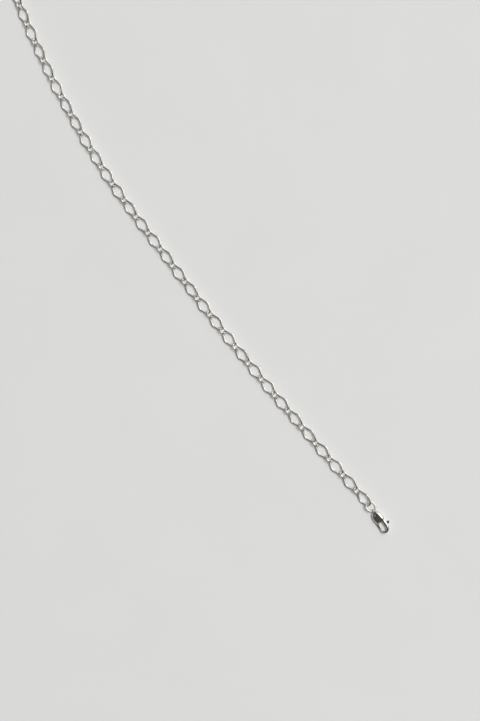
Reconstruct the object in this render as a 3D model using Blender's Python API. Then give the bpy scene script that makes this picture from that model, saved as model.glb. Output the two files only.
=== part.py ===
"""Silver necklace: diamond-shaped wire links, small round links and a lobster clasp.

The necklace lies open on a surface, as it would by itself. Sizes are millimetres, turned to metres
by MM. +Z is up, the surface is at zero, and the origin is the middle of the necklace's footprint.
The chain runs from the clasp, at +X and -Y, up to the bend at +Y and back down at -X.
"""

import math

import bmesh
import bpy
from mathutils import Matrix, Vector

MM = 0.001

# Both kinds of link
WIRE = 0.66
WIRE_SIDES = 5
PITCH = 7.96
DIAMOND_COUNT = 54
FRONT_DIAMONDS = 30
MEETING_SLACK = 0.16

# Diamond link, radii to the middle of the wire
DIAMOND_LENGTH = 7.0
DIAMOND_WIDTH = 4.35
DIAMOND_TIP_RADIUS = 1.1
DIAMOND_SIDE_RADIUS = 2.1
DIAMOND_TIP_STEPS = 2
DIAMOND_SIDE_STEPS = 1

# Round link
ROUND_DIAMETER = 3.6
ROUND_STEPS = 10
ROUND_LEAN = math.radians(-58)

# How each diamond lies: turned about the chain, one side raised or the other
LIFTED_ROLL = math.radians(13)
DROPPED_ROLL = math.radians(2)
END_ROLL = math.radians(20)
LIFTED_DIAMONDS = (4, 5, 9, 13, 15, 18, 21, 23, 24, 26, 27, 29)
HIDDEN_LIFT_EVERY = 3

# The way the chain lies, from the first diamond's middle to past the last one
ROUTE = (
    # x, y
    (100.5, -106.5),
    (74.6, -76.6),
    (49.1, -45.9),
    (24.8, -14.4),
    (1.2, 17.7),
    (-18.8, 52.1),
    (-32.3, 81.0),
    (-38.7, 96.4),
    (-51.8, 111.6),
    (-71.6, 117.5),
    (-90.9, 112.1),
    (-104.4, 97.2),
    (-107.8, 77.4),
    (-104.4, 47.6),
    (-101.0, 17.8),
    (-97.0, -17.0),
)
ROUTE_SAMPLES = 60
ROUTE_START = 0.2

# Jump ring between the chain and the clasp, with the thin cut where it opens
JUMP_DIAMETER = 4.4
JUMP_WIRE = 0.6
JUMP_LEAN = math.radians(-36)
JUMP_CUT = math.radians(5)
JUMP_CUT_AT = math.radians(62)
JUMP_FROM_DIAMOND = 3.95
JUMP_ASIDE = 0.15
JUMP_STEPS = 16
RING_SIDES = 6

# Plain closed ring at the far end, which the clasp hooks into
END_DIAMETER = 4.6
END_WIRE = 0.7
END_LEAN = math.radians(-36)
END_FROM_DIAMOND = 3.85

# Clasp, in its own frame: x from the eye to the nose, y to the lever's nub, z up
CLASP_HEADING = math.radians(-56)
CLASP_THICKNESS = 2.5
CLASP_MIDDLE = CLASP_THICKNESS / 2
EYE_FROM_JUMP = 1.93
EYE_HALF_LENGTH = 0.75
EYE_HALF_HEIGHT = 0.95
EYE_WIRE = 0.42
EYE_SPREAD = 1.4
EYE_HEIGHT = 1.32

CLASP_OUTLINE = (
    # x, y of the back edge, y of the gate's edge
    (0.40, 0.62, -0.66),
    (0.75, 1.12, -1.18),
    (1.45, 1.60, -1.64),
    (2.35, 1.88, -1.90),
    (3.35, 1.97, -1.95),
    (4.20, 1.93, -1.84),
    (4.78, 1.80, -1.56),
    (5.04, 1.40, -1.10),
)
CLASP_LAYERS = (
    # height, how far the outline is drawn in
    (0.00, 0.52),
    (0.14, 0.26),
    (0.44, 0.06),
    (0.85, 0.00),
    (1.65, 0.00),
    (2.06, 0.06),
    (2.36, 0.26),
    (2.50, 0.52),
)
HOOK_SECTIONS = (
    # x, y, half width, half height
    (4.10, 1.14, 0.80, 1.06),
    (5.60, 1.15, 0.80, 1.06),
    (7.10, 1.12, 0.77, 1.02),
    (8.05, 0.95, 0.69, 0.98),
    (8.70, 0.50, 0.60, 0.94),
    (9.04, -0.12, 0.54, 0.88),
    (8.94, -0.82, 0.48, 0.80),
    (8.50, -1.34, 0.42, 0.72),
    (7.88, -1.58, 0.36, 0.64),
    (7.22, -1.62, 0.30, 0.58),
)
HOOK_SIDES = 10
HOOK_SQUARENESS = 2.6

# Slot for the lever: inside the body, and through the back of the hook for the nub
SLOT_THICKNESS = 1.1
SLOT_OUTLINE = (
    # x, y
    (1.02, -3.0),
    (5.60, -3.0),
    (5.60, 0.20),
    (6.20, 0.80),
    (7.30, 0.80),
    (7.30, 3.0),
    (3.80, 3.0),
    (3.80, 1.36),
    (1.02, 1.36),
)

# Lever: hub, gate and nub, cut from one plate
PIVOT = (1.75, -0.35)
LEVER_THICKNESS = 0.9
LEVER_OUTLINE = (
    # x, y
    (1.24, -0.58),
    (1.22, -0.18),
    (1.50, 0.12),
    (2.10, 0.34),
    (4.20, 0.66),
    (5.15, 1.42),
    (5.78, 1.98),
    (6.05, 2.86),
    (6.40, 2.90),
    (6.98, 2.20),
    (7.00, 1.62),
    (6.30, 0.98),
    (5.30, 0.22),
    (4.80, -0.55),
    (5.30, -1.08),
    (6.95, -1.22),
    (6.98, -1.74),
    (5.20, -1.80),
    (3.60, -1.62),
    (1.95, -0.98),
    (1.48, -0.88),
)
LEVER_BEVEL = 0.12

# Pin that the lever turns on
PIN_DIAMETER = 0.56
PIN_CLEARANCE = 0.04
PIN_SINK = 0.05
PIN_SIDES = 14
PIN_BEVEL = 0.05

CUTTER_REACH = 2.0
SMOOTH_ANGLE = math.radians(35)

# Metal finishes: base colour and roughness
BRIGHT_SILVER = ((0.80, 0.79, 0.77, 1.0), 0.14)
CAST_SILVER = ((0.74, 0.72, 0.69, 1.0), 0.20)


def clear_scene():
    for item in list(bpy.context.scene.objects):
        bpy.data.objects.remove(item, do_unlink=True)


def silver(name, finish):
    colour, roughness = finish
    material = bpy.data.materials.new(name)
    material.use_nodes = True
    shader = material.node_tree.nodes["Principled BSDF"]
    shader.inputs["Base Color"].default_value = colour
    shader.inputs["Metallic"].default_value = 1.0
    shader.inputs["Roughness"].default_value = roughness
    return material


def add_object(name, mesh, finish):
    """Turn a bmesh into a named object with its own silver, outward faces and smooth shading."""
    bmesh.ops.recalc_face_normals(mesh, faces=mesh.faces)
    data = bpy.data.meshes.new(name)
    mesh.to_mesh(data)
    mesh.free()
    data.shade_smooth()
    data.set_sharp_from_angle(angle=SMOOTH_ANGLE)
    data.materials.append(silver(name + "_silver", finish))
    item = bpy.data.objects.new(name, data)
    bpy.context.scene.collection.objects.link(item)
    return item


def hide_as_cutter(item):
    item.hide_render = True
    item.display_type = "WIRE"


def boolean(item, other, operation):
    """Join a hidden shape to an object, or cut it away."""
    hide_as_cutter(other)
    modifier = item.modifiers.new(other.name, "BOOLEAN")
    modifier.operation = operation
    modifier.solver = "EXACT"
    modifier.object = other


def skin(mesh, sections, closed, place):
    """Join rows of points, all equally long, into a tube; an open tube gets flat ends."""
    rows = [[mesh.verts.new((place @ point) * MM) for point in section] for section in sections]
    row_pairs = list(zip(rows, rows[1:]))
    if closed:
        row_pairs.append((rows[-1], rows[0]))
    for row, following in row_pairs:
        for index in range(len(row)):
            beside = (index + 1) % len(row)
            mesh.faces.new((row[index], row[beside], following[beside], following[index]))
    if not closed:
        mesh.faces.new(rows[0])
        mesh.faces.new(rows[-1])


def side_directions(path, closed):
    """For each point of a flat path, the direction to its left, longer at a bend to keep the width."""
    directions = []
    for index, point in enumerate(path):
        before = path[index - 1] if closed or index else point
        after = path[(index + 1) % len(path)] if closed or index + 1 < len(path) else point
        incoming = (point - before).normalized() if point != before else (after - point).normalized()
        outgoing = (after - point).normalized() if after != point else incoming
        along = (incoming + outgoing).normalized()
        left = Vector((-along.y, along.x, 0.0))
        directions.append(left / max(along.dot(outgoing), 0.5))
    return directions


def wire_sections(path, closed, radius, sides):
    """Round wire along a flat path, with one corner of its section facing the path's left."""
    reach = radius * math.sqrt(2 * math.pi / (sides * math.sin(2 * math.pi / sides)))
    angles = [2 * math.pi * corner / sides for corner in range(sides)]
    sections = []
    for point, left in zip(path, side_directions(path, closed)):
        sections.append([point + reach * (math.cos(angle) * left + math.sin(angle) * Vector((0, 0, 1)))
                         for angle in angles])
    return sections


def diamond_path():
    """Middle line of a diamond link: two tight tips, two rounded side corners, straight between."""
    tip_centre = (DIAMOND_LENGTH - WIRE) / 2 - DIAMOND_TIP_RADIUS
    side_centre = (DIAMOND_WIDTH - WIRE) / 2 - DIAMOND_SIDE_RADIUS
    between = math.hypot(tip_centre, side_centre)
    turn = (math.acos((DIAMOND_SIDE_RADIUS - DIAMOND_TIP_RADIUS) / between)
            - math.atan2(side_centre, tip_centre))
    corners = (
        # middle, radius, first angle, last angle, steps
        (Vector((tip_centre, 0, 0)), DIAMOND_TIP_RADIUS, -turn, turn, DIAMOND_TIP_STEPS),
        (Vector((0, side_centre, 0)), DIAMOND_SIDE_RADIUS, turn, math.pi - turn, DIAMOND_SIDE_STEPS),
        (Vector((-tip_centre, 0, 0)), DIAMOND_TIP_RADIUS, math.pi - turn, math.pi + turn, DIAMOND_TIP_STEPS),
        (Vector((0, -side_centre, 0)), DIAMOND_SIDE_RADIUS, turn - math.pi, -turn, DIAMOND_SIDE_STEPS),
    )
    path = []
    for centre, radius, start, end, steps in corners:
        for step in range(steps + 1):
            angle = start + (end - start) * step / steps
            path.append(centre + radius * Vector((math.cos(angle), math.sin(angle), 0)))
    return path


def circle_path(radius, steps):
    return [radius * Vector((math.cos(2 * math.pi * step / steps), math.sin(2 * math.pi * step / steps), 0))
            for step in range(steps)]


def lowest_reach(radius, lean, wire, sides):
    """Height of a leaning ring's middle when its lowest edge touches the surface."""
    reach = wire / 2 * math.sqrt(2 * math.pi / (sides * math.sin(2 * math.pi / sides)))
    return radius * abs(math.sin(lean)) + reach


def route_samples():
    """Points along the smooth curve through ROUTE, with the length walked to each."""
    points = [Vector((x, y, 0)) for x, y in ROUTE]
    points.insert(0, 2 * points[0] - points[1])
    points.append(2 * points[-1] - points[-2])
    curve = []
    for index in range(1, len(points) - 2):
        before, start, end, after = points[index - 1:index + 3]
        for sample in range(ROUTE_SAMPLES):
            t = sample / ROUTE_SAMPLES
            curve.append(0.5 * (2 * start + (end - before) * t
                                + (2 * before - 5 * start + 4 * end - after) * t ** 2
                                + (3 * start - before - 3 * end + after) * t ** 3))
    curve.append(points[-2])
    walked = [0.0]
    for start, end in zip(curve, curve[1:]):
        walked.append(walked[-1] + (end - start).length)
    return curve, walked


def place_on_route(curve, walked, distance, height, roll):
    """Frame at a distance along the route: x along the chain, rolled about it."""
    index = next(i for i in range(1, len(walked)) if walked[i] >= distance or i == len(walked) - 1)
    start, end = curve[index - 1], curve[index]
    part = (distance - walked[index - 1]) / (walked[index] - walked[index - 1])
    point = start.lerp(end, part)
    heading = math.atan2(end.y - start.y, end.x - start.x)
    return (Matrix.Translation((point.x, point.y, height))
            @ Matrix.Rotation(heading, 4, "Z") @ Matrix.Rotation(roll, 4, "X"))


def diamond_roll(index):
    """Turn of a diamond about the chain, as the heading points away from the clasp."""
    if index in (0, DIAMOND_COUNT - 1):
        return -END_ROLL
    if index < FRONT_DIAMONDS:
        lifted = index in LIFTED_DIAMONDS
    else:
        lifted = index % HIDDEN_LIFT_EVERY == 0
    return -(LIFTED_ROLL if lifted else DROPPED_ROLL)


def chain_distance(index):
    """Distance from the route's start to a link's middle; the two chain halves meet a little closer."""
    slack = MEETING_SLACK if index >= FRONT_DIAMONDS else 0.0
    return ROUTE_START + PITCH * index - slack


def link_height():
    return lowest_reach((ROUND_DIAMETER - WIRE) / 2, ROUND_LEAN, WIRE, WIRE_SIDES)


def build_chain(name, first, last, curve, walked):
    """Diamonds first to last and the round links between and after them, soldered into one body."""
    diamonds = bmesh.new()
    rounds = bmesh.new()
    diamond_wire = wire_sections(diamond_path(), True, WIRE / 2, WIRE_SIDES)
    round_path = circle_path((ROUND_DIAMETER - WIRE) / 2, ROUND_STEPS)
    round_wire = wire_sections(round_path, True, WIRE / 2, WIRE_SIDES)
    for index in range(first, last + 1):
        distance = chain_distance(index)
        place = place_on_route(curve, walked, distance, link_height(), diamond_roll(index))
        skin(diamonds, diamond_wire, True, place)
        if index < DIAMOND_COUNT - 1:
            place = place_on_route(curve, walked, distance + PITCH / 2, link_height(), -ROUND_LEAN)
            skin(rounds, round_wire, True, place)
    chain = add_object(name, diamonds, BRIGHT_SILVER)
    round_links = add_object(name + "_round_links", rounds, BRIGHT_SILVER)
    boolean(chain, round_links, "UNION")
    return chain


def build_jump_ring(place):
    """Round wire bent to a ring, with the narrow cut where a jeweller opens it."""
    radius = (JUMP_DIAMETER - JUMP_WIRE) / 2
    start = JUMP_CUT_AT + JUMP_CUT / 2
    sweep = 2 * math.pi - JUMP_CUT
    path = [radius * Vector((math.cos(start + sweep * step / JUMP_STEPS),
                             math.sin(start + sweep * step / JUMP_STEPS), 0))
            for step in range(JUMP_STEPS + 1)]
    mesh = bmesh.new()
    skin(mesh, wire_sections(path, False, JUMP_WIRE / 2, RING_SIDES), False, place)
    return add_object("jump_ring", mesh, BRIGHT_SILVER)


def build_end_ring(place):
    mesh = bmesh.new()
    path = circle_path((END_DIAMETER - END_WIRE) / 2, JUMP_STEPS)
    skin(mesh, wire_sections(path, True, END_WIRE / 2, RING_SIDES), True, place)
    return add_object("end_ring", mesh, BRIGHT_SILVER)


def plate(mesh, outline, low, high, place):
    """Flat plate of an outline, from a low to a high level."""
    skin(mesh, [[Vector((x, y, z)) for x, y in outline] for z in (low, high)], False, place)


def build_clasp_body(place):
    """Cushion-shaped body, hook and eye as one casting, slotted for the lever and drilled for the pin."""
    edge = [Vector((x, back, 0)) for x, back, _ in CLASP_OUTLINE]
    edge += [Vector((x, gate, 0)) for x, _, gate in reversed(CLASP_OUTLINE)]
    outward = side_directions(edge, True)
    mesh = bmesh.new()
    layers = []
    for height, drawn_in in CLASP_LAYERS:
        layers.append([point - side * drawn_in + Vector((0, 0, height))
                       for point, side in zip(edge, outward)])
    skin(mesh, layers, False, place)
    body = add_object("clasp_body", mesh, CAST_SILVER)

    mesh = bmesh.new()
    middle = [Vector((x, y, 0)) for x, y, _, _ in HOOK_SECTIONS]
    sections = []
    for point, left, (_, _, half_width, half_height) in zip(middle, side_directions(middle, False),
                                                            HOOK_SECTIONS):
        section = []
        for corner in range(HOOK_SIDES):
            angle = 2 * math.pi * corner / HOOK_SIDES
            across = math.copysign(abs(math.cos(angle)) ** (2 / HOOK_SQUARENESS), math.cos(angle))
            upward = math.copysign(abs(math.sin(angle)) ** (2 / HOOK_SQUARENESS), math.sin(angle))
            section.append(point + left * half_width * across
                           + Vector((0, 0, CLASP_MIDDLE + half_height * upward)))
        sections.append(section)
    skin(mesh, sections, False, place)
    boolean(body, add_object("clasp_hook", mesh, CAST_SILVER), "UNION")

    mesh = bmesh.new()
    loop = [Vector((EYE_HALF_LENGTH * point.x, EYE_HALF_HEIGHT * point.y, 0))
            for point in circle_path(1.0, JUMP_STEPS)]
    upright = (place @ Matrix.Translation((0, 0, EYE_HEIGHT)) @ Matrix.Rotation(math.pi / 2, 4, "X")
               @ Matrix.Diagonal((1, 1, EYE_SPREAD, 1)))
    skin(mesh, wire_sections(loop, True, EYE_WIRE / 2, RING_SIDES), True, upright)
    boolean(body, add_object("clasp_eye", mesh, CAST_SILVER), "UNION")

    mesh = bmesh.new()
    plate(mesh, SLOT_OUTLINE, CLASP_MIDDLE - SLOT_THICKNESS / 2, CLASP_MIDDLE + SLOT_THICKNESS / 2, place)
    boolean(body, add_object("lever_slot", mesh, CAST_SILVER), "DIFFERENCE")

    mesh = bmesh.new()
    hole = [(PIVOT[0] + point.x, PIVOT[1] + point.y)
            for point in circle_path(PIN_DIAMETER / 2 + PIN_CLEARANCE, PIN_SIDES)]
    plate(mesh, hole, -CUTTER_REACH, CLASP_THICKNESS + CUTTER_REACH, place)
    pin_hole = add_object("pin_hole", mesh, CAST_SILVER)
    boolean(body, pin_hole, "DIFFERENCE")
    return body, pin_hole


def move_origin(item, point):
    """Put an object's origin at a point without moving its mesh."""
    item.data.transform(Matrix.Translation(-point))
    item.location = point


def build_clasp_lever(place, pin_hole):
    """Plate with the hub inside the body, the gate that shuts the hook and the nub for a fingernail."""
    mesh = bmesh.new()
    low = CLASP_MIDDLE - LEVER_THICKNESS / 2
    plate(mesh, LEVER_OUTLINE, low, low + LEVER_THICKNESS, place)
    lever = add_object("clasp_lever", mesh, CAST_SILVER)
    move_origin(lever, (place @ Vector((PIVOT[0], PIVOT[1], CLASP_MIDDLE))) * MM)
    bevel = lever.modifiers.new("worn_edges", "BEVEL")
    bevel.width = LEVER_BEVEL * MM
    bevel.segments = 1
    bevel.limit_method = "ANGLE"
    bevel.angle_limit = math.radians(60)
    boolean(lever, pin_hole, "DIFFERENCE")
    return lever


def build_clasp_pin(place):
    """Round pin through both cheeks and the lever, its ends just below the cheeks."""
    mesh = bmesh.new()
    radius = PIN_DIAMETER / 2
    levels = (
        # height, radius
        (PIN_SINK, radius - PIN_BEVEL),
        (PIN_SINK + PIN_BEVEL, radius),
        (CLASP_THICKNESS - PIN_SINK - PIN_BEVEL, radius),
        (CLASP_THICKNESS - PIN_SINK, radius - PIN_BEVEL),
    )
    middle = Vector((PIVOT[0], PIVOT[1], 0))
    sections = [[middle + point + Vector((0, 0, height)) for point in circle_path(width, PIN_SIDES)]
                for height, width in levels]
    skin(mesh, sections, False, place)
    return add_object("clasp_pin", mesh, BRIGHT_SILVER)


def main():
    clear_scene()
    curve, walked = route_samples()
    build_chain("chain_front", 0, FRONT_DIAMONDS - 1, curve, walked)
    build_chain("chain_back", FRONT_DIAMONDS, DIAMOND_COUNT - 1, curve, walked)

    first = place_on_route(curve, walked, ROUTE_START, 0, 0)
    jump_height = lowest_reach((JUMP_DIAMETER - JUMP_WIRE) / 2, JUMP_LEAN, JUMP_WIRE, RING_SIDES)
    toward_clasp = Matrix.Rotation(math.pi, 4, "Z")
    jump_place = first @ Matrix.Translation((-JUMP_FROM_DIAMOND, JUMP_ASIDE, jump_height)) @ toward_clasp
    build_jump_ring(jump_place @ Matrix.Rotation(JUMP_LEAN, 4, "X"))

    last_distance = chain_distance(DIAMOND_COUNT - 1)
    end_height = lowest_reach((END_DIAMETER - END_WIRE) / 2, END_LEAN, END_WIRE, RING_SIDES)
    end_place = place_on_route(curve, walked, last_distance, 0, 0)
    end_place = end_place @ Matrix.Translation((END_FROM_DIAMOND, 0, end_height))
    build_end_ring(end_place @ Matrix.Rotation(-END_LEAN, 4, "X"))

    jump_middle = jump_place.translation
    eye = Vector((jump_middle.x, jump_middle.y, 0)) + EYE_FROM_JUMP * Vector(
        (math.cos(CLASP_HEADING), math.sin(CLASP_HEADING), 0))
    clasp_place = Matrix.Translation(eye) @ Matrix.Rotation(CLASP_HEADING, 4, "Z")
    _, pin_hole = build_clasp_body(clasp_place)
    build_clasp_lever(clasp_place, pin_hole)
    build_clasp_pin(clasp_place)


main()
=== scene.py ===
"""Silver necklace: wire links, rings and lobster clasp in fine detail, laid on a pale surface."""

import math

import bmesh
import bpy
from bpy.props import FloatProperty, FloatVectorProperty, IntProperty, PointerProperty
from mathutils import Matrix, Vector


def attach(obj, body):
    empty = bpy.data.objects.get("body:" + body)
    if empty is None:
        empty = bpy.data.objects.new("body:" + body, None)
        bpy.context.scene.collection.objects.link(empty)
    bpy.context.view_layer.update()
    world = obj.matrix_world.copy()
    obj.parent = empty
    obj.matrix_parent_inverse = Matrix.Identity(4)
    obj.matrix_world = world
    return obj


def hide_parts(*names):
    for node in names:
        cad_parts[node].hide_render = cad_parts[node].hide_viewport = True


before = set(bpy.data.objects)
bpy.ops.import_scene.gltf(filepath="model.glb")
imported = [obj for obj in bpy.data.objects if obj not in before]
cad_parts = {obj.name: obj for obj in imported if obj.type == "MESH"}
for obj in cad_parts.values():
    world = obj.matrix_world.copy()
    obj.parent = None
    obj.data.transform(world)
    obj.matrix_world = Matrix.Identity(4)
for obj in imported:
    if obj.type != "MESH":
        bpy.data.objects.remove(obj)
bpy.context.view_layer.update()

bl_info = {
    "name": "Silver Necklace",
    "version": (1, 0, 0),
    "blender": (4, 5, 0),
    "location": "View3D > Sidebar > Necklace",
    "description": "Builds a chain of diamond-shaped wire links with its rings and lobster clasp",
    "category": "Add Mesh",
}

MM = 0.001

# How the chain lies: middle line from the first diamond link to past the last one, in millimetres
ROUTE = (
    # x, y
    (100.5, -106.5),
    (74.6, -76.6),
    (49.1, -45.9),
    (24.8, -14.4),
    (1.2, 17.7),
    (-18.8, 52.1),
    (-32.3, 81.0),
    (-38.7, 96.4),
    (-51.8, 111.6),
    (-71.6, 117.5),
    (-90.9, 112.1),
    (-104.4, 97.2),
    (-107.8, 77.4),
    (-104.4, 47.6),
    (-101.0, 17.8),
    (-97.0, -17.0),
)
ROUTE_SAMPLES = 60
ROUTE_START = 0.2

# Links along the route; the two parts of the chain meet a little closer than the other links
DIAMOND_COUNT = 54
FRONT_DIAMONDS = 30
MEETING_SLACK = 0.16
LINK_HEIGHT = 1.6
LINK_SEED = 7

# How the links are turned about the chain: most diamonds are dropped, and these are lifted
ROUND_LEAN = math.radians(-58)
LIFTED_ROLL = math.radians(13)
DROPPED_ROLL = math.radians(2)
END_ROLL = math.radians(20)
LIFTED_DIAMONDS = (4, 5, 9, 13, 15, 18, 21, 23, 24, 26, 27, 29)
HIDDEN_LIFT_EVERY = 3

# Where the rings and the clasp lie, in millimetres and along the chain
JUMP_FROM_DIAMOND = 3.95
JUMP_ASIDE = 0.15
JUMP_HEIGHT = 1.45
JUMP_LEAN = math.radians(-36)
JUMP_CUT_AT = math.radians(62)
END_FROM_DIAMOND = 3.85
END_HEIGHT = 1.53
END_LEAN = math.radians(-36)
CLASP_HEADING = math.radians(-56)
EYE_FROM_JUMP = 1.93
EYE_HEIGHT = 1.32

# Clasp casting in its own frame, millimetres: x from the eye to the nose, y to the nub, z up
CLASP_OUTLINE = (
    # x, y of the back edge, y of the gate's edge
    (0.40, 0.62, -0.66),
    (0.75, 1.12, -1.18),
    (1.45, 1.60, -1.64),
    (2.35, 1.88, -1.90),
    (3.35, 1.97, -1.95),
    (4.20, 1.93, -1.84),
    (4.78, 1.80, -1.56),
    (5.04, 1.40, -1.10),
)
CUSHION_LAYERS = (
    # share of the half thickness, how far the outline is drawn in
    (-1.00, 0.95),
    (-0.95, 0.66),
    (-0.84, 0.40),
    (-0.64, 0.17),
    (-0.36, 0.04),
    (0.00, 0.00),
    (0.36, 0.04),
    (0.64, 0.17),
    (0.84, 0.40),
    (0.95, 0.66),
    (1.00, 0.95),
)
HOOK_SECTIONS = (
    # x, y, half width, half height
    (4.10, 1.14, 0.80, 1.06),
    (5.60, 1.15, 0.80, 1.06),
    (7.10, 1.12, 0.77, 1.02),
    (8.05, 0.95, 0.69, 0.98),
    (8.70, 0.50, 0.60, 0.94),
    (9.04, -0.12, 0.54, 0.88),
    (8.94, -0.82, 0.48, 0.80),
    (8.50, -1.34, 0.42, 0.72),
    (7.88, -1.58, 0.36, 0.64),
    (7.22, -1.62, 0.30, 0.58),
)
HOOK_SIDES = 24
# Power of the hook's rounded section, which is 2 for an ellipse
HOOK_SQUARENESS = 2.3
SLOT_OUTLINE = (
    # x, y
    (1.02, -3.0),
    (5.60, -3.0),
    (5.60, 0.20),
    (6.20, 0.80),
    (7.30, 0.80),
    (7.30, 3.0),
    (3.80, 3.0),
    (3.80, 1.36),
    (1.02, 1.36),
)
# Middle of the rivet
PIVOT = (1.75, -0.35)
LEVER_OUTLINE = (
    # x, y
    (1.24, -0.58),
    (1.22, -0.18),
    (1.50, 0.12),
    (2.10, 0.34),
    (4.20, 0.66),
    (5.15, 1.42),
    (5.78, 1.98),
    (6.05, 2.86),
    (6.40, 2.90),
    (6.98, 2.20),
    (7.00, 1.62),
    (6.30, 0.98),
    (5.30, 0.22),
    (4.80, -0.55),
    (5.30, -1.08),
    (6.95, -1.22),
    (6.98, -1.74),
    (5.20, -1.80),
    (3.60, -1.62),
    (1.95, -0.98),
    (1.48, -0.88),
)
RIVET_DOME = (
    # depth under the clasp's face, share of the rivet's radius
    (0.05, 1 / 14),
    (0.06, 3 / 7),
    (0.08, 5 / 7),
    (0.12, 27 / 28),
    (0.17, 1.0),
)
RIVET_SIDES = 40
RIVET_CLEARANCE = 0.04
EYE_SIDES = 16
EYE_STEPS = 40
# Points of the smooth line from one point of an outline to the next
OUTLINE_STEPS = 5
CUSHION_STEPS = 3
HOOK_STEPS = 5
LEVER_STEPS = 4
# How far a cutter for the rivet's hole reaches past the clasp's faces
CUTTER_MARGIN = 1.0
# Cosine of half the sharpest bend at which an outline keeps its width
SHARPEST_BEND = 0.5
SMOOTH_ANGLE = math.radians(40)

# Casting: grain of the first fusing against the last, and how strongly each tumbling round smooths
FUSING_GRAIN = 1.2
TUMBLING_STRENGTH = 0.5
# Wear of a casting: rounds that spread it, its strength, its value on flat faces and in deep corners
WEAR_SPREAD = 6
WEAR_GAIN = 2.0
WEAR_MIDDLE = 0.5
WEAR_DEEP = 0.34

# Names of the two silvers
WIRE_SILVER = "Sterling silver, drawn and tumbled wire"
CAST_SILVER = "Sterling silver, cast and tumbled"

# View of the photograph: nearly from above, through a long lens; millimetres
PICTURE_HEIGHT = 721
FOCAL_PIXELS = 2700
SENSOR = 36.0
VIEW_TARGET = (52.7, -53.9, 0.0)
VIEW_TILT = math.radians(11)
# Side that the camera is tilted to, as x and y
VIEW_TOWARD = (0.96, -0.28)
VIEW_DISTANCE = 1026.0

# Stage, in metres
CLIP_NEAR = 0.05
CLIP_FAR = 20.0
LIGHT_DISTANCE = 5.0
FLOOR_REACH = 3.0
# Share of the floor's brightness that is left in its darker clouds
FLOOR_CLOUD = 0.96
# Share of the floor's colour that the room sheds as plain light
FILL = 0.10
# Pale cards round the stage, which the silver mirrors in place of the soft light itself
CARDS = (
    # turn and rise of the middle, half width of the bright core and of the whole, brightness
    (math.radians(39), math.radians(50), math.radians(12), math.radians(30), 2.4),
    (math.radians(63), math.radians(33), math.radians(24), math.radians(42), 0.67),
)
# Glow low on the room's walls, and the height as a sine where it ends
WALL_GLOW = 0.027
WALL_TOP = 0.3


def hex_colour(code):
    """An sRGB hex value as a linear colour."""
    channels = [int(code[start:start + 2], 16) / 255 for start in (1, 3, 5)]
    return tuple(value / 12.92 if value <= 0.04045 else ((value + 0.055) / 1.055) ** 2.4
                 for value in channels)


def add_node(tree, kind, inputs=None, **settings):
    """Add a node with its settings; an input is a value, or another node's output to link."""
    node = tree.nodes.new(kind)
    for name, value in settings.items():
        setattr(node, name, value)
    for key, value in (inputs or {}).items():
        if isinstance(value, bpy.types.NodeSocket):
            tree.links.new(value, node.inputs[key])
        else:
            node.inputs[key].default_value = value
    return node


# Sockets of a Mix node for colours, whose names its other kinds share
MIX_SHARE, MIX_FIRST, MIX_SECOND = 0, 6, 7
MIX_RESULT = 2


class LinkSizes(bpy.types.PropertyGroup):
    """Sizes of the chain's two kinds of link."""
    wire: FloatProperty(name="Wire Diameter", description="Thickness of both links' wire",
                        default=0.66 * MM, min=0.2 * MM, max=1.5 * MM, precision=5, unit="LENGTH")
    pitch: FloatProperty(name="Pitch", description="Step from one diamond link to the next",
                         default=7.96 * MM, min=3 * MM, max=20 * MM, precision=5, unit="LENGTH")
    diamond_length: FloatProperty(name="Diamond Length", description="Diamond link from tip to tip, outside",
                                  default=7.0 * MM, min=2 * MM, max=20 * MM, precision=5, unit="LENGTH")
    diamond_width: FloatProperty(name="Diamond Width", description="Diamond link across its sides, outside",
                                 default=4.35 * MM, min=2 * MM, max=12 * MM, precision=5, unit="LENGTH")
    tip_radius: FloatProperty(name="Tip Radius", description="Bend of the wire at a tip, to its middle",
                              default=1.1 * MM, min=0.3 * MM, max=2 * MM, precision=5, unit="LENGTH")
    side_radius: FloatProperty(name="Side Radius", description="Bend of the wire at a side, to its middle",
                               default=2.1 * MM, min=0.3 * MM, max=4 * MM, precision=5, unit="LENGTH")
    round_diameter: FloatProperty(name="Round Diameter", description="Round link's outer diameter",
                                  default=3.6 * MM, min=1 * MM, max=8 * MM, precision=5, unit="LENGTH")
    wire_sides: IntProperty(name="Wire Sides", description="Faces round the wire", default=12, min=5, max=32)
    bend_steps: IntProperty(name="Bend Steps", description="Points in each bend", default=7, min=2, max=16)
    round_steps: IntProperty(name="Round Steps", description="Points round a round link",
                             default=30, min=10, max=64)
    scatter: FloatProperty(name="Scatter", description="How far a diamond may be turned from its neighbours",
                           default=math.radians(1.5), min=0.0, max=math.radians(5), unit="ROTATION")


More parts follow.
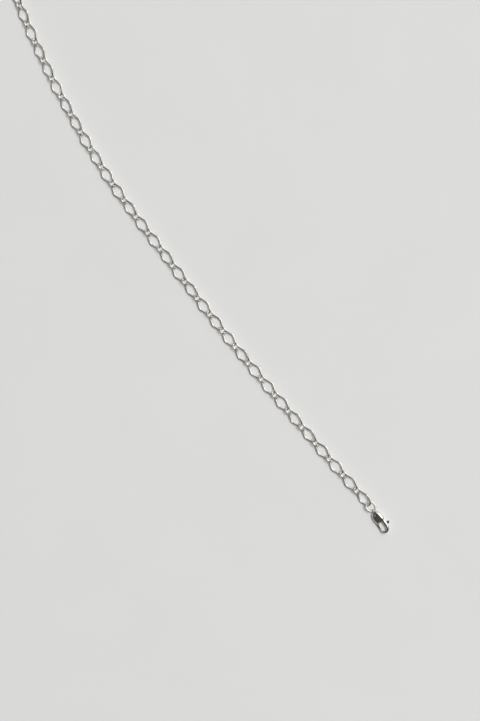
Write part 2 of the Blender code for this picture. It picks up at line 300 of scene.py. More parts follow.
class RingSizes(bpy.types.PropertyGroup):
    """Sizes of the jump ring and of the plain ring at the other end."""
    jump_diameter: FloatProperty(name="Jump Ring Diameter", description="Jump ring's outer diameter",
                                 default=4.4 * MM, min=2 * MM, max=10 * MM, precision=5, unit="LENGTH")
    jump_wire: FloatProperty(name="Jump Ring Wire", description="Thickness of the jump ring's wire",
                             default=0.6 * MM, min=0.2 * MM, max=1.5 * MM, precision=5, unit="LENGTH")
    jump_cut: FloatProperty(name="Jump Ring Cut", description="Width of the cut where the ring opens",
                            default=0.1 * MM, min=0.02 * MM, max=0.5 * MM, precision=5, unit="LENGTH")
    end_diameter: FloatProperty(name="End Ring Diameter", description="End ring's outer diameter",
                                default=4.6 * MM, min=2 * MM, max=10 * MM, precision=5, unit="LENGTH")
    end_wire: FloatProperty(name="End Ring Wire", description="Thickness of the end ring's wire",
                            default=0.7 * MM, min=0.2 * MM, max=1.5 * MM, precision=5, unit="LENGTH")
    wire_sides: IntProperty(name="Wire Sides", description="Faces round the wire", default=20, min=6, max=48)
    steps: IntProperty(name="Steps", description="Points round a ring", default=72, min=12, max=180)


class ClaspSizes(bpy.types.PropertyGroup):
    """Sizes of the lobster clasp."""
    thickness: FloatProperty(name="Thickness", description="Clasp's thickness, cheek to cheek",
                             default=2.5 * MM, min=1 * MM, max=6 * MM, precision=5, unit="LENGTH")
    slot: FloatProperty(name="Slot", description="Gap between the cheeks, for the lever",
                        default=1.1 * MM, min=0.4 * MM, max=3 * MM, precision=5, unit="LENGTH")
    lever: FloatProperty(name="Lever Thickness", description="Thickness of the lever",
                         default=0.9 * MM, min=0.3 * MM, max=2.8 * MM, precision=5, unit="LENGTH")
    rivet: FloatProperty(name="Rivet Diameter", description="Rivet that the lever turns on",
                         default=0.56 * MM, min=0.2 * MM, max=1.2 * MM, precision=5, unit="LENGTH")
    eye_length: FloatProperty(name="Eye Length", description="Eye loop along the clasp, to the wire's middle",
                              default=1.5 * MM, min=0.6 * MM, max=4 * MM, precision=5, unit="LENGTH")
    eye_height: FloatProperty(name="Eye Height", description="Eye loop upwards, to the wire's middle",
                              default=1.9 * MM, min=0.6 * MM, max=4 * MM, precision=5, unit="LENGTH")
    eye_wire: FloatProperty(name="Eye Wire", description="Thickness of the eye loop",
                            default=0.42 * MM, min=0.2 * MM, max=1 * MM, precision=5, unit="LENGTH")
    eye_spread: FloatProperty(name="Eye Spread", description="How much wider than thick the eye loop is",
                              default=1.4, min=1.0, max=2.0)
    grain: FloatProperty(name="Grain", description="Size of the faces that the casting is made of",
                         default=0.055 * MM, min=0.03 * MM, max=0.2 * MM, precision=6, unit="LENGTH")
    tumbling: IntProperty(name="Tumbling", description="Rounds of smoothing, as a tumbler rounds edges",
                          default=4, min=0, max=12)


class SilverFinish(bpy.types.PropertyGroup):
    """Colours and gloss of the silver."""
    bright: FloatVectorProperty(name="Bright Silver", description="Clean polished silver", subtype="COLOR",
                                default=hex_colour("#F8F6F1"), min=0.0, max=1.0)
    dull: FloatVectorProperty(name="Dull Silver", description="Silver with a breath of tarnish",
                              subtype="COLOR", default=hex_colour("#E2DED6"), min=0.0, max=1.0)
    tarnish: FloatVectorProperty(name="Tarnish", description="Silver in corners that no polishing reaches",
                                 subtype="COLOR", default=hex_colour("#6E655A"), min=0.0, max=1.0)
    wire_gloss: FloatProperty(name="Wire Roughness", description="Roughness of the polished wire",
                              default=0.12, min=0.02, max=0.6)
    cast_gloss: FloatProperty(name="Casting Roughness", description="Roughness of the tumbled casting",
                              default=0.18, min=0.02, max=0.6)


class StageSettings(bpy.types.PropertyGroup):
    """Floor, light and surroundings."""
    floor: FloatVectorProperty(name="Floor", description="Pale board under the necklace", subtype="COLOR",
                               default=hex_colour("#E0E0DF"), min=0.0, max=1.0)
    surround: FloatVectorProperty(name="Surroundings", description="Dim room that the silver mirrors",
                                  subtype="COLOR", default=hex_colour("#43403C"), min=0.0, max=1.0)
    light_size: FloatProperty(name="Light Size", description="Width of the soft light",
                              default=1.84, min=0.05, max=5.0, unit="LENGTH")
    light_power: FloatProperty(name="Light Power", description="Power of the soft light",
                               default=228, min=0.1, max=500.0, unit="POWER")
    light_turn: FloatProperty(name="Light Turn", description="Side that the light comes from, from +X",
                              default=math.radians(9), unit="ROTATION")
    light_rise: FloatProperty(name="Light Rise", description="Height of the light above the floor",
                              default=math.radians(67), unit="ROTATION")
    cards: FloatProperty(name="Cards", description="Brightness of the pale cards that the silver mirrors",
                         default=1.0, min=0.0, max=5.0)


def new_material(name):
    """An empty procedural material: its tree, its shader and its texture coordinates."""
    material = bpy.data.materials.new(name)
    material.use_nodes = True
    tree = material.node_tree
    tree.nodes.clear()
    shader = add_node(tree, "ShaderNodeBsdfPrincipled", {"Metallic": 1.0})
    add_node(tree, "ShaderNodeOutputMaterial", {"Surface": shader.outputs["BSDF"]})
    coordinates = add_node(tree, "ShaderNodeTexCoord").outputs["Object"]
    return material, tree, shader, coordinates


def dulled_silver(tree, coordinates, finish, scale, clouds, dullness):
    """Bright silver with dull patches: the dullness rises over its range as the noise does over clouds."""
    patches = add_node(tree, "ShaderNodeTexNoise",
                       {"Vector": coordinates, "Scale": scale, "Detail": 3.0, "Roughness": 0.6})
    tone = add_node(tree, "ShaderNodeMapRange",
                    {"Value": patches.outputs["Fac"], "From Min": clouds[0], "From Max": clouds[1],
                     "To Min": dullness[0], "To Max": dullness[1]})
    colour = add_node(tree, "ShaderNodeMix",
                      {MIX_SHARE: tone.outputs["Result"], MIX_FIRST: (*finish.bright, 1.0),
                       MIX_SECOND: (*finish.dull, 1.0)}, data_type="RGBA")
    return colour.outputs[MIX_RESULT]


def mark_gloss(tree, coordinates, shader, scale, grit, least, most):
    """Vary the roughness between two values with fine marks."""
    marks = add_node(tree, "ShaderNodeTexNoise",
                     {"Vector": coordinates, "Scale": scale, "Detail": 2.0, "Roughness": grit})
    gloss = add_node(tree, "ShaderNodeMapRange",
                     {"Value": marks.outputs["Fac"], "From Min": 0.3, "From Max": 0.7,
                      "To Min": least, "To Max": most})
    tree.links.new(gloss.outputs["Result"], shader.inputs["Roughness"])


def raise_relief(tree, coordinates, shader, scale, detail, grit, strength, depth):
    """Raise a shallow, uneven relief on the surface."""
    height = add_node(tree, "ShaderNodeTexNoise",
                      {"Vector": coordinates, "Scale": scale, "Detail": detail, "Roughness": grit})
    bump = add_node(tree, "ShaderNodeBump",
                    {"Strength": strength, "Distance": depth, "Height": height.outputs["Fac"]})
    tree.links.new(bump.outputs["Normal"], shader.inputs["Normal"])


def drawn_silver_wire(name, finish):
    """Sterling silver wire, drawn, bent and tumbled: mirror-bright, with a faint ripple and dull patches."""
    material, tree, shader, coordinates = new_material(name)
    # Patches about as long as a link and a half, where the polish has dulled
    colour = dulled_silver(tree, coordinates, finish, scale=90.0, clouds=(0.38, 0.68), dullness=(0.0, 0.7))
    tree.links.new(colour, shader.inputs["Base Color"])
    # Handling marks about a third of a millimetre apart
    mark_gloss(tree, coordinates, shader, scale=3000.0, grit=0.5,
               least=finish.wire_gloss * 0.8, most=finish.wire_gloss * 1.5)
    # Ripples left by the draw plate and the bending, shallow and about 0.6 mm apart
    raise_relief(tree, coordinates, shader, scale=1600.0, detail=1.0, grit=0.4, strength=0.15,
                 depth=0.02 * MM)
    return material


def cast_silver(name, finish):
    """Sterling silver, cast and tumbled: satin-bright faces, polished edges, tarnish left in the corners."""
    material, tree, shader, coordinates = new_material(name)
    # Dull patches about two millimetres across
    face = dulled_silver(tree, coordinates, finish, scale=500.0, clouds=(0.36, 0.66), dullness=(0.1, 0.8))
    # Tarnish in the corners, where the casting's own wear attribute is low
    wear = add_node(tree, "ShaderNodeAttribute", attribute_name="wear").outputs["Fac"]
    corners = add_node(tree, "ShaderNodeMapRange",
                       {"Value": wear, "From Min": WEAR_MIDDLE, "From Max": WEAR_DEEP,
                        "To Min": 0.0, "To Max": 0.85})
    colour = add_node(tree, "ShaderNodeMix",
                      {MIX_SHARE: corners.outputs["Result"], MIX_FIRST: face,
                       MIX_SECOND: (*finish.tarnish, 1.0)}, data_type="RGBA")
    tree.links.new(colour.outputs[MIX_RESULT], shader.inputs["Base Color"])
    # Satin from the tumbling media, about a fifth of a millimetre
    mark_gloss(tree, coordinates, shader, scale=5000.0, grit=0.6,
               least=finish.cast_gloss * 0.8, most=finish.cast_gloss * 1.6)
    # Casting skin, shallow dimples about half a millimetre across
    raise_relief(tree, coordinates, shader, scale=1800.0, detail=2.0, grit=0.5, strength=0.3,
                 depth=0.04 * MM)
    return material


def finished_material(name):
    """One of the two silvers, made once and shared."""
    builders = {WIRE_SILVER: drawn_silver_wire, CAST_SILVER: cast_silver}
    if name not in bpy.data.materials:
        builders[name](name, bpy.context.scene.necklace_silver)
    return bpy.data.materials[name]


def route_samples():
    """Points along the smooth curve through ROUTE, with the length walked to each."""
    points = [Vector((x, y, 0)) for x, y in ROUTE]
    points.insert(0, 2 * points[0] - points[1])
    points.append(2 * points[-1] - points[-2])
    curve = []
    for index in range(1, len(points) - 2):
        before, start, end, after = points[index - 1:index + 3]
        for sample in range(ROUTE_SAMPLES):
            t = sample / ROUTE_SAMPLES
            curve.append(0.5 * (2 * start + (end - before) * t
                                + (2 * before - 5 * start + 4 * end - after) * t ** 2
                                + (3 * start - before - 3 * end + after) * t ** 3))
    curve.append(points[-2])
    walked = [0.0]
    for start, end in zip(curve, curve[1:]):
        walked.append(walked[-1] + (end - start).length)
    return curve, walked


def place_on_route(curve, walked, distance, height, roll):
    """Frame at a distance along the route: x along the chain, rolled about it; millimetres."""
    index = next(i for i in range(1, len(walked)) if walked[i] >= distance or i == len(walked) - 1)
    start, end = curve[index - 1], curve[index]
    part = (distance - walked[index - 1]) / (walked[index] - walked[index - 1])
    point = start.lerp(end, part)
    heading = math.atan2(end.y - start.y, end.x - start.x)
    return (Matrix.Translation((point.x, point.y, height))
            @ Matrix.Rotation(heading, 4, "Z") @ Matrix.Rotation(roll, 4, "X"))


def diamond_roll(index):
    """Turn of a diamond about the chain, as the heading points away from the clasp."""
    if index in (0, DIAMOND_COUNT - 1):
        return -END_ROLL
    if index < FRONT_DIAMONDS:
        lifted = index in LIFTED_DIAMONDS
    else:
        lifted = index % HIDDEN_LIFT_EVERY == 0
    return -(LIFTED_ROLL if lifted else DROPPED_ROLL)


def chain_distance(index, pitch):
    """Distance from the route's start to a diamond's middle, in millimetres."""
    slack = MEETING_SLACK if index >= FRONT_DIAMONDS else 0.0
    return ROUTE_START + pitch * index - slack


def ring_places(pitch):
    """Frames of the jump ring, the clasp and the end ring, in millimetres."""
    curve, walked = route_samples()
    first = place_on_route(curve, walked, ROUTE_START, 0, 0)
    jump = (first @ Matrix.Translation((-JUMP_FROM_DIAMOND, JUMP_ASIDE, JUMP_HEIGHT))
            @ Matrix.Rotation(math.pi, 4, "Z"))
    middle = jump.translation
    eye = Vector((middle.x, middle.y, 0)) + EYE_FROM_JUMP * Vector(
        (math.cos(CLASP_HEADING), math.sin(CLASP_HEADING), 0))
    clasp = Matrix.Translation(eye) @ Matrix.Rotation(CLASP_HEADING, 4, "Z")
    last = place_on_route(curve, walked, chain_distance(DIAMOND_COUNT - 1, pitch), 0, 0)
    end = last @ Matrix.Translation((END_FROM_DIAMOND, 0, END_HEIGHT))
    return jump @ Matrix.Rotation(JUMP_LEAN, 4, "X"), clasp, end @ Matrix.Rotation(-END_LEAN, 4, "X")


def diamond_corners(sizes):
    """Half length and half width of the unrounded diamond whose bends have the given radii."""
    tip_centre = (sizes.diamond_length - sizes.wire) / 2 - sizes.tip_radius
    side_centre = (sizes.diamond_width - sizes.wire) / 2 - sizes.side_radius
    turn = (math.acos((sizes.side_radius - sizes.tip_radius) / math.hypot(tip_centre, side_centre))
            - math.atan2(side_centre, tip_centre))
    return tip_centre + sizes.tip_radius / math.cos(turn), side_centre + sizes.side_radius / math.sin(turn)


LINK_INPUTS = (
    # name, socket
    ("Lay", "NodeSocketGeometry"),
    ("Wire Radius", "NodeSocketFloat"),
    ("Half Length", "NodeSocketFloat"),
    ("Half Width", "NodeSocketFloat"),
    ("Tip Radius", "NodeSocketFloat"),
    ("Side Radius", "NodeSocketFloat"),
    ("Round Radius", "NodeSocketFloat"),
    ("Scatter", "NodeSocketFloat"),
    ("Wire Sides", "NodeSocketInt"),
    ("Bend Steps", "NodeSocketInt"),
    ("Round Steps", "NodeSocketInt"),
    ("Seed", "NodeSocketInt"),
    ("Silver", "NodeSocketMaterial"),
)


def link_tree():
    """Geometry nodes that put a bent wire link on each point of the lay, diamond or round."""
    tree = bpy.data.node_groups.new("Wire links", "GeometryNodeTree")
    for name, socket in LINK_INPUTS:
        tree.interface.new_socket(name=name, in_out="INPUT", socket_type=socket)
    tree.interface.new_socket(name="Links", in_out="OUTPUT", socket_type="NodeSocketGeometry")
    sizes = add_node(tree, "NodeGroupInput").outputs

    wire = add_node(tree, "GeometryNodeCurvePrimitiveCircle",
                    {"Resolution": sizes["Wire Sides"], "Radius": sizes["Wire Radius"]}).outputs["Curve"]
    length = add_node(tree, "ShaderNodeMath", {0: sizes["Half Length"], 1: 2.0}, operation="MULTIPLY")
    kite = add_node(tree, "GeometryNodeCurvePrimitiveQuadrilateral",
                    {"Width": length.outputs[0], "Bottom Height": sizes["Half Width"],
                     "Top Height": sizes["Half Width"]}, mode="KITE")
    position = add_node(tree, "GeometryNodeInputPosition").outputs[0]
    place = add_node(tree, "ShaderNodeSeparateXYZ", {0: position})
    across = add_node(tree, "ShaderNodeMath", {0: place.outputs["Y"]}, operation="ABSOLUTE")
    at_side = add_node(tree, "FunctionNodeCompare", {"A": across.outputs[0], "B": sizes["Wire Radius"]},
                       data_type="FLOAT", operation="GREATER_THAN")
    bend = add_node(tree, "GeometryNodeSwitch",
                    {"Switch": at_side.outputs["Result"], "False": sizes["Tip Radius"],
                     "True": sizes["Side Radius"]}, input_type="FLOAT")
    rounded = add_node(tree, "GeometryNodeFilletCurve",
                       {"Curve": kite.outputs["Curve"], "Count": sizes["Bend Steps"],
                        "Radius": bend.outputs["Output"]}, mode="POLY")
    diamond = add_node(tree, "GeometryNodeCurveToMesh",
                       {"Curve": rounded.outputs["Curve"], "Profile Curve": wire}).outputs["Mesh"]
    circle = add_node(tree, "GeometryNodeCurvePrimitiveCircle",
                      {"Resolution": sizes["Round Steps"], "Radius": sizes["Round Radius"]})
    ring = add_node(tree, "GeometryNodeCurveToMesh",
                    {"Curve": circle.outputs["Curve"], "Profile Curve": wire}).outputs["Mesh"]

    is_round = add_node(tree, "GeometryNodeInputNamedAttribute", {"Name": "is_round"},
                        data_type="BOOLEAN").outputs["Attribute"]
    is_diamond = add_node(tree, "FunctionNodeBooleanMath", {0: is_round}, operation="NOT").outputs[0]
    lay = add_node(tree, "GeometryNodeInputNamedAttribute", {"Name": "lay"},
                   data_type="QUATERNION").outputs["Attribute"]
    least = add_node(tree, "ShaderNodeMath", {0: sizes["Scatter"], 1: -1.0}, operation="MULTIPLY")
    chance = add_node(tree, "FunctionNodeRandomValue",
                      {2: least.outputs[0], 3: sizes["Scatter"], "Seed": sizes["Seed"]}, data_type="FLOAT")
    turn = add_node(tree, "FunctionNodeAxisAngleToRotation",
                    {"Axis": (1.0, 0.0, 0.0), "Angle": chance.outputs[1]})
    turned = add_node(tree, "FunctionNodeRotateRotation",
                      {"Rotation": lay, "Rotate By": turn.outputs[0]}, rotation_space="LOCAL")
    diamonds = add_node(tree, "GeometryNodeInstanceOnPoints",
                        {"Points": sizes["Lay"], "Selection": is_diamond, "Instance": diamond,
                         "Rotation": turned.outputs[0]})
    rounds = add_node(tree, "GeometryNodeInstanceOnPoints",
                      {"Points": sizes["Lay"], "Selection": is_round, "Instance": ring, "Rotation": lay})
    links = add_node(tree, "GeometryNodeJoinGeometry")
    tree.links.new(diamonds.outputs["Instances"], links.inputs[0])
    tree.links.new(rounds.outputs["Instances"], links.inputs[0])
    real = add_node(tree, "GeometryNodeRealizeInstances", {"Geometry": links.outputs[0]})
    smooth = add_node(tree, "GeometryNodeSetShadeSmooth", {"Geometry": real.outputs[0]})
    silvered = add_node(tree, "GeometryNodeSetMaterial",
                        {"Geometry": smooth.outputs[0], "Material": sizes["Silver"]})
    add_node(tree, "NodeGroupOutput", {"Links": silvered.outputs[0]})
    return tree


def link_lay(pitch):
    """A point for each link's middle, with how it is turned and whether it is a round one."""
    curve, walked = route_samples()
    places = []
    for index in range(DIAMOND_COUNT):
        distance = chain_distance(index, pitch)
        places.append((place_on_route(curve, walked, distance, LINK_HEIGHT, diamond_roll(index)), False))
        if index < DIAMOND_COUNT - 1:
            places.append((place_on_route(curve, walked, distance + pitch / 2, LINK_HEIGHT,
                                          -ROUND_LEAN), True))
    mesh = bpy.data.meshes.new("link_lay")
    mesh.from_pydata([place.translation * MM for place, _ in places], [], [])
    mesh.attributes.new("lay", "QUATERNION", "POINT")
    mesh.attributes.new("is_round", "BOOLEAN", "POINT")
    for index, (place, is_round) in enumerate(places):
        mesh.attributes["lay"].data[index].value = place.to_quaternion()
        mesh.attributes["is_round"].data[index].value = is_round
    return mesh


def baked(item):
    """The evaluated mesh of an object, whose modifiers and source are then removed."""
    depsgraph = bpy.context.evaluated_depsgraph_get()
    mesh = bpy.data.meshes.new_from_object(item.evaluated_get(depsgraph), depsgraph=depsgraph)
    bpy.data.objects.remove(item, do_unlink=True)
    return mesh


def add_piece(name, mesh, material, body, nodes):
    """Make a finished mesh a piece that rides on a body and stands for its nodes."""
    if material:
        mesh.materials.clear()
        mesh.materials.append(material)
    mesh.name = name
    item = bpy.data.objects.new(name, mesh)
    bpy.context.scene.collection.objects.link(item)
    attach(item, body)
    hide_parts(*nodes)
    return item


def skin(mesh, sections, closed, place):
    """Join rows of points, all equally long, into a tube; an open tube gets flat ends."""
    rows = [[mesh.verts.new(place @ point) for point in section] for section in sections]
    row_pairs = list(zip(rows, rows[1:]))
    if closed:
        row_pairs.append((rows[-1], rows[0]))
    for row, following in row_pairs:
        for index in range(len(row)):
            beside = (index + 1) % len(row)
            mesh.faces.new((row[index], row[beside], following[beside], following[index]))
    if not closed:
        mesh.faces.new(rows[0])
        mesh.faces.new(rows[-1])


def ring_sections(radius, wire, sides, steps, start=0.0, sweep=2 * math.pi):
    """Sections of round wire bent to a circle or a part of one, about z."""
    closed = sweep >= 2 * math.pi
    sections = []
    for step in range(steps if closed else steps + 1):
        angle = start + sweep * step / steps
        outward = Vector((math.cos(angle), math.sin(angle), 0))
        sections.append([outward * (radius + wire / 2 * math.cos(2 * math.pi * corner / sides))
                         + Vector((0, 0, wire / 2 * math.sin(2 * math.pi * corner / sides)))
                         for corner in range(sides)])
    return sections


def smooth_line(rows, steps, closed):
    """Rows of numbers with more rows between them, on a smooth curve through them all."""
    count = len(rows)
    line = []
    for index in range(count if closed else count - 1):
        if closed:
            before, start, end, after = (rows[(index + shift) % count] for shift in (-1, 0, 1, 2))
        else:
            before, start = rows[max(index - 1, 0)], rows[index]
            end, after = rows[index + 1], rows[min(index + 2, count - 1)]
        for step in range(steps):
            t = step / steps
            line.append(tuple(0.5 * (2 * b + (c - a) * t + (2 * a - 5 * b + 4 * c - d) * t ** 2
                                     + (3 * b - a - 3 * c + d) * t ** 3)
                              for a, b, c, d in zip(before, start, end, after)))
    if not closed:
        line.append(tuple(rows[-1]))
    return line


def side_directions(path, closed):
    """For each point of a flat path, the direction to its left, longer at a bend to keep the width."""
    directions = []
    for index, point in enumerate(path):
        before = path[index - 1] if closed or index else point
        after = path[(index + 1) % len(path)] if closed or index + 1 < len(path) else point
        incoming = (point - before).normalized() if point != before else (after - point).normalized()
        outgoing = (after - point).normalized() if after != point else incoming
        along = (incoming + outgoing).normalized()
        directions.append(Vector((-along.y, along.x, 0.0)) / max(along.dot(outgoing), SHARPEST_BEND))
    return directions


def plate(outline, low, high):
    """Closed plate of an outline, in millimetres."""
    form = bmesh.new()
    skin(form, [[Vector((x, y, z)) for x, y in outline] for z in (low, high)], False, Matrix())
    return form


def rivet_hole(sizes):
    """Cutter for the hole that the rivet runs through, a little wider than the rivet, in millimetres."""
    radius = sizes.rivet / 2 / MM + RIVET_CLEARANCE
    circle = [(PIVOT[0] + x, PIVOT[1] + y) for x, y in circle_points(radius, RIVET_SIDES)]
    return plate(circle, -CUTTER_MARGIN, sizes.thickness / MM + CUTTER_MARGIN)


def circle_points(radius, count):
    """Corners of a circle, each as x and y."""
    angles = [2 * math.pi * corner / count for corner in range(count)]
    return [(radius * math.cos(angle), radius * math.sin(angle)) for angle in angles]


def closed_mesh(name, form):
    """Mesh of a closed form, with all its faces turned outwards; the form is used up."""
    bmesh.ops.recalc_face_normals(form, faces=form.faces)
    mesh = bpy.data.meshes.new(name)
    form.to_mesh(mesh)
    form.free()
    return mesh


def scratch_object(name, form):
    """Object of a form for the modifiers to work on, which is removed afterwards."""
    item = bpy.data.objects.new(name, closed_mesh(name, form))
    bpy.context.scene.collection.objects.link(item)
    return item


def cast(name, form, cutters, grain, tumbling, place):
    """Cast one body from overlapping forms, cut it, and tumble its edges; worked in millimetres."""
    item = scratch_object(name, form)
    fused = item.modifiers.new("fused", "REMESH")
    fused.mode = "VOXEL"
    fused.voxel_size = grain * FUSING_GRAIN
    tools = []
    for index, cutter in enumerate(cutters):
        tool = scratch_object(f"{name}_cut_{index}", cutter)
        cut = item.modifiers.new(tool.name, "BOOLEAN")
        cut.operation = "DIFFERENCE"
        cut.solver = "EXACT"
        cut.object = tool
        tools.append(tool)
    fine = item.modifiers.new("fine", "REMESH")
    fine.mode = "VOXEL"
    fine.voxel_size = grain
    tumbled = item.modifiers.new("tumbled", "SMOOTH")
    tumbled.factor = TUMBLING_STRENGTH
    tumbled.iterations = tumbling
    mesh = baked(item)
    for tool in tools:
        bpy.data.objects.remove(tool, do_unlink=True)
    mark_wear(mesh, grain)
    mesh.transform(Matrix.Scale(MM, 4) @ place)
    mesh.shade_smooth()
    return mesh


def mark_wear(mesh, grain):
    """Store how far each point stands out: over a half on edges that rub, under it in corners."""
    work = bmesh.new()
    work.from_mesh(mesh)
    work.normal_update()
    wear = []
    for vertex in work.verts:
        around = [edge.other_vert(vertex).co for edge in vertex.link_edges]
        middle = sum(around, Vector()) / len(around)
        wear.append((vertex.co - middle).dot(vertex.normal) / grain)
    for _ in range(WEAR_SPREAD):
        wear = [(wear[vertex.index] + sum(wear[edge.other_vert(vertex).index] for edge in vertex.link_edges)
                 / len(vertex.link_edges)) / 2 for vertex in work.verts]
    work.free()
    layer = mesh.attributes.new("wear", "FLOAT", "POINT")
    layer.data.foreach_set("value", [WEAR_MIDDLE + WEAR_GAIN * value for value in wear])


class NECKLACE_OT_chain(bpy.types.Operator):
    """Lay the chain of long diamond links and small round links, which pass through each other"""
    bl_idname = "necklace.chain"
    bl_label = "Lay Chain"

    def execute(self, context):
        sizes = context.scene.necklace_links
        mesh = link_lay(sizes.pitch / MM)
        item = bpy.data.objects.new("link_lay", mesh)
        context.scene.collection.objects.link(item)
        half_length, half_width = diamond_corners(sizes)
        values = {
            "Wire Radius": sizes.wire / 2,
            "Half Length": half_length,
            "Half Width": half_width,
            "Tip Radius": sizes.tip_radius,
            "Side Radius": sizes.side_radius,
            "Round Radius": (sizes.round_diameter - sizes.wire) / 2,
            "Scatter": sizes.scatter,
            "Wire Sides": sizes.wire_sides,
            "Bend Steps": sizes.bend_steps,
            "Round Steps": sizes.round_steps,
            "Seed": LINK_SEED,
            "Silver": finished_material(WIRE_SILVER),
        }
        modifier = item.modifiers.new("links", "NODES")
        modifier.node_group = link_tree()
        for socket in modifier.node_group.interface.items_tree:
            if socket.in_out == "INPUT" and socket.name in values:
                modifier[socket.identifier] = values[socket.name]
        add_piece("chain_links", baked(item), None, "necklace",
                  ("chain_front", "chain_back"))
        return {"FINISHED"}


class NECKLACE_OT_rings(bpy.types.Operator):
    """Bend the jump ring that holds the clasp, with its cut, and the closed ring at the other end"""
    bl_idname = "necklace.rings"
    bl_label = "Bend Rings"

    def execute(self, context):
        sizes = context.scene.necklace_rings
        jump_place, _, end_place = ring_places(context.scene.necklace_links.pitch / MM)
        radius = (sizes.jump_diameter - sizes.jump_wire) / 2
        cut = sizes.jump_cut / radius
        jump = ring_sections(radius / MM, sizes.jump_wire / MM, sizes.wire_sides, sizes.steps,
                             JUMP_CUT_AT + cut / 2, 2 * math.pi - cut)
        end = ring_sections((sizes.end_diameter - sizes.end_wire) / 2 / MM, sizes.end_wire / MM,
                            sizes.wire_sides, sizes.steps)
        rings = (
            # name, sections, whether it is closed, place, node
            ("jump_ring_wire", jump, False, jump_place, "jump_ring"),
            ("end_ring_wire", end, True, end_place, "end_ring"),
        )
        for name, sections, closed, place, node in rings:
            form = bmesh.new()
            skin(form, sections, closed, Matrix.Scale(MM, 4) @ place)
            mesh = closed_mesh(name, form)
            mesh.shade_smooth()
            mesh.set_sharp_from_angle(angle=SMOOTH_ANGLE)
            add_piece(name, mesh, finished_material(WIRE_SILVER), "necklace",
                      (node,))
        return {"FINISHED"}


class NECKLACE_OT_clasp_body(bpy.types.Operator):
    """Cast the clasp's cushion-shaped body with its hook, its eye and the slot for the lever"""
    bl_idname = "necklace.clasp_body"
    bl_label = "Cast Clasp Body"

    def execute(self, context):
        sizes = context.scene.necklace_clasp
        _, place, _ = ring_places(context.scene.necklace_links.pitch / MM)
        half = sizes.thickness / 2 / MM
        form = bmesh.new()
        edge = [(x, back) for x, back, _ in CLASP_OUTLINE]
        edge += [(x, gate) for x, _, gate in reversed(CLASP_OUTLINE)]
        edge = [Vector((x, y, 0)) for x, y in smooth_line(edge, OUTLINE_STEPS, True)]
        outward = side_directions(edge, True)
        layers = [[point - side * drawn_in + Vector((0, 0, half * (1 + share)))
                   for point, side in zip(edge, outward)]
                  for share, drawn_in in smooth_line(CUSHION_LAYERS, CUSHION_STEPS, False)]
        skin(form, layers, False, Matrix())

        rows = smooth_line(HOOK_SECTIONS, HOOK_STEPS, False)
        middle = [Vector((x, y, 0)) for x, y, _, _ in rows]
        sections = []
        leftward = side_directions(middle, False)
        for point, left, (_, _, half_width, half_height) in zip(middle, leftward, rows):
            section = []
            for corner in range(HOOK_SIDES):
                angle = 2 * math.pi * corner / HOOK_SIDES
                across = math.copysign(abs(math.cos(angle)) ** (2 / HOOK_SQUARENESS), math.cos(angle))
                upward = math.copysign(abs(math.sin(angle)) ** (2 / HOOK_SQUARENESS), math.sin(angle))
                section.append(point + left * half_width * across
                               + Vector((0, 0, half + half_height * upward)))
            sections.append(section)
        skin(form, sections, False, Matrix())

        wire = sizes.eye_wire / MM
        upright = (Matrix.Translation((0, 0, EYE_HEIGHT)) @ Matrix.Rotation(math.pi / 2, 4, "X")
                   @ Matrix.Diagonal((sizes.eye_length / 2 / MM, sizes.eye_height / 2 / MM,
                                      sizes.eye_spread, 1)))
        skin(form, ring_sections(1.0, wire, EYE_SIDES, EYE_STEPS), True, upright)

        slot = sizes.slot / 2 / MM
        cutters = [plate(SLOT_OUTLINE, half - slot, half + slot), rivet_hole(sizes)]
        mesh = cast("clasp_casting", form, cutters, sizes.grain / MM, sizes.tumbling, place)
        add_piece("clasp_casting", mesh, finished_material(CAST_SILVER), "necklace",
                  ("clasp_body",))
        return {"FINISHED"}


class NECKLACE_OT_clasp_lever(bpy.types.Operator):
    """Cut the clasp's lever: the hub on the rivet, the gate that shuts the hook and the nub"""
    bl_idname = "necklace.clasp_lever"
    bl_label = "Cut Clasp Lever"

    def execute(self, context):
        sizes = context.scene.necklace_clasp
        _, place, _ = ring_places(context.scene.necklace_links.pitch / MM)
        half, thick = sizes.thickness / 2 / MM, sizes.lever / 2 / MM
        form = plate(smooth_line(LEVER_OUTLINE, LEVER_STEPS, True), half - thick, half + thick)
        mesh = cast("clasp_gate", form, [rivet_hole(sizes)], sizes.grain / MM, sizes.tumbling, place)
        add_piece("clasp_gate", mesh, finished_material(CAST_SILVER), "lever",
                  ("clasp_lever",))
        return {"FINISHED"}


class NECKLACE_OT_rivet(bpy.types.Operator):
    """Set the rivet that the lever turns on, with its two domed ends"""
    bl_idname = "necklace.rivet"
    bl_label = "Set Rivet"

    def execute(self, context):
        sizes = context.scene.necklace_clasp
        _, place, _ = ring_places(context.scene.necklace_links.pitch / MM)
        radius, top = sizes.rivet / 2 / MM, sizes.thickness / MM
        profile = list(RIVET_DOME)
        profile += [(top - depth, share) for depth, share in reversed(RIVET_DOME)]
        sections = [[Vector((PIVOT[0] + x, PIVOT[1] + y, height))
                     for x, y in circle_points(radius * share, RIVET_SIDES)] for height, share in profile]
        form = bmesh.new()
        skin(form, sections, False, Matrix.Scale(MM, 4) @ place)
        mesh = closed_mesh("clasp_rivet", form)
        mesh.shade_smooth()
        add_piece("clasp_rivet", mesh, finished_material(WIRE_SILVER), "necklace",
                  ("clasp_pin",))
        return {"FINISHED"}


def toward_sky(turn, rise):
    """Direction at an angle from +X about z and at a height above the floor."""
    return Vector((math.cos(turn) * math.cos(rise), math.sin(turn) * math.cos(rise), math.sin(rise)))


